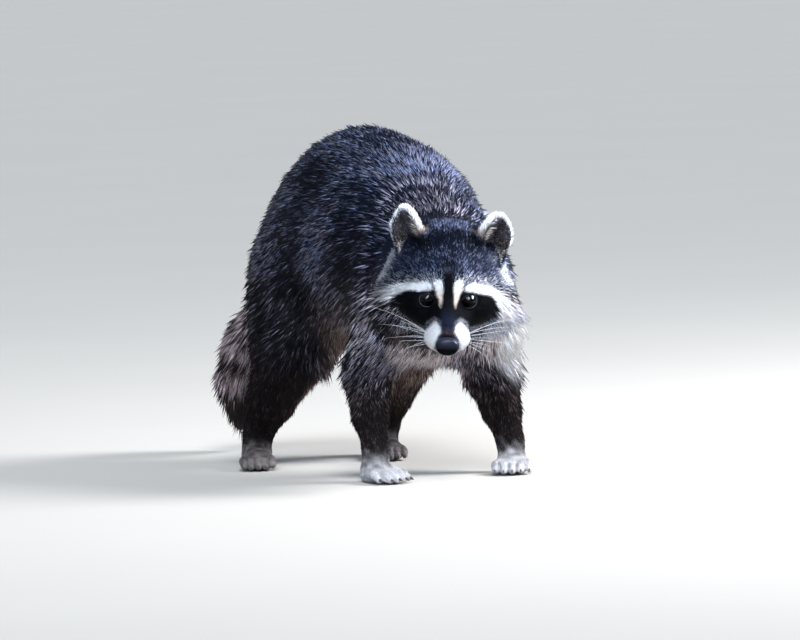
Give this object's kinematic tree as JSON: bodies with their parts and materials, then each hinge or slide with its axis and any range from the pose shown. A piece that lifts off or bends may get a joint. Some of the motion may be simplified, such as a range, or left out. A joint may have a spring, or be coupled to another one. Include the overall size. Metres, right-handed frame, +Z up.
{
  "type": "raccoon",
  "caption": "Life-size standing raccoon with arched back, low turned head, black mask and ringed tail.",
  "frame": {"origin": "centre of the bounding box's base, on the floor that the paws stand on", "axes": "+Z up, -Y the way the animal's body faces, +X its left side; the head is turned about 23 degrees to its right"},
  "size_m": [0.2422, 0.5906, 0.3453],
  "materials": {
    "body_fur": "long grizzled fur, dark with pale tips",
    "leg_fur": "short dark brown fur",
    "paw_fur": "short pale grey fur over dark leathery soles",
    "ear_fur": "short fur, white rim and dark inside",
    "eye": "wet gloss, dark brown iris",
    "nose_leather": "moist pebbled black skin",
    "claw": "dark horn, satin"
  },
  "bodies": {
    "root": {"claw_fore_left_1": "claw", "claw_fore_left_2": "claw", "claw_fore_left_3": "claw", "claw_fore_left_4": "claw", "claw_fore_left_5": "claw", "claw_fore_right_1": "claw", "claw_fore_right_2": "claw", "claw_fore_right_3": "claw", "claw_fore_right_4": "claw", "claw_fore_right_5": "claw", "claw_hind_left_1": "claw", "claw_hind_left_2": "claw", "claw_hind_left_3": "claw", "claw_hind_left_4": "claw", "claw_hind_left_5": "claw", "claw_hind_right_1": "claw", "claw_hind_right_2": "claw", "claw_hind_right_3": "claw", "claw_hind_right_4": "claw", "claw_hind_right_5": "claw", "ear_left": "ear_fur", "ear_right": "ear_fur", "eye_left": "eye", "eye_right": "eye", "head": "body_fur", "lower_leg_fore_left": "leg_fur", "lower_leg_fore_right": "leg_fur", "lower_leg_hind_left": "leg_fur", "lower_leg_hind_right": "leg_fur", "neck": "body_fur", "nose": "nose_leather", "paw_fore_left": "paw_fur", "paw_fore_right": "paw_fur", "paw_hind_left": "paw_fur", "paw_hind_right": "paw_fur", "tail_base": "body_fur", "tail_end": "body_fur", "trunk": "body_fur", "upper_leg_fore_left": "body_fur", "upper_leg_fore_right": "body_fur", "upper_leg_hind_left": "body_fur", "upper_leg_hind_right": "body_fur"}
  },
  "joints": []
}
